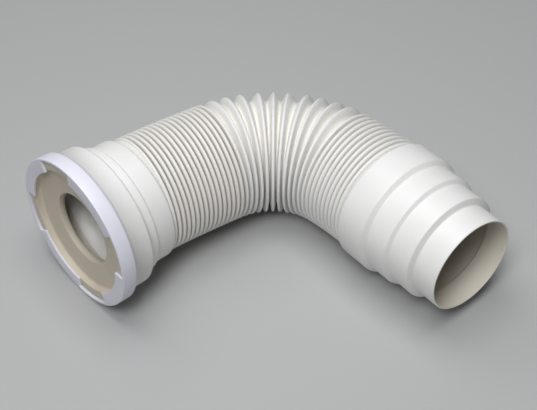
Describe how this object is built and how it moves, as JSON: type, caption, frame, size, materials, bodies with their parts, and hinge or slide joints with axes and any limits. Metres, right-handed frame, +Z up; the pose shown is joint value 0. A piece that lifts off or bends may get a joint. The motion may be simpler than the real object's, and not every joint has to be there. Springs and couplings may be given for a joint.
{
  "type": "toilet pan connector",
  "caption": "Flexible toilet pan connector lying bent at a right angle: ringed socket with a rubber pan seal, concertina bellows and a stepped plain end for the soil pipe.",
  "frame": {"origin": "on the floor under the middle of the part's box, as it lies at rest", "axes": "+Z up; the socket's mouth faces -X, tipped up a few degrees, and the plain end faces -Y"},
  "size_m": [0.28, 0.3116, 0.136],
  "materials": {
    "white_pipe": "satin blow-moulded white",
    "beige_rubber": "smooth moulded beige rubber",
    "bluish_white_plastic": "satin moulded bluish white"
  },
  "bodies": {
    "root": {"flexible_pipe": "white_pipe", "pan_seal": "beige_rubber", "seal_retaining_ring": "bluish_white_plastic"}
  },
  "joints": []
}
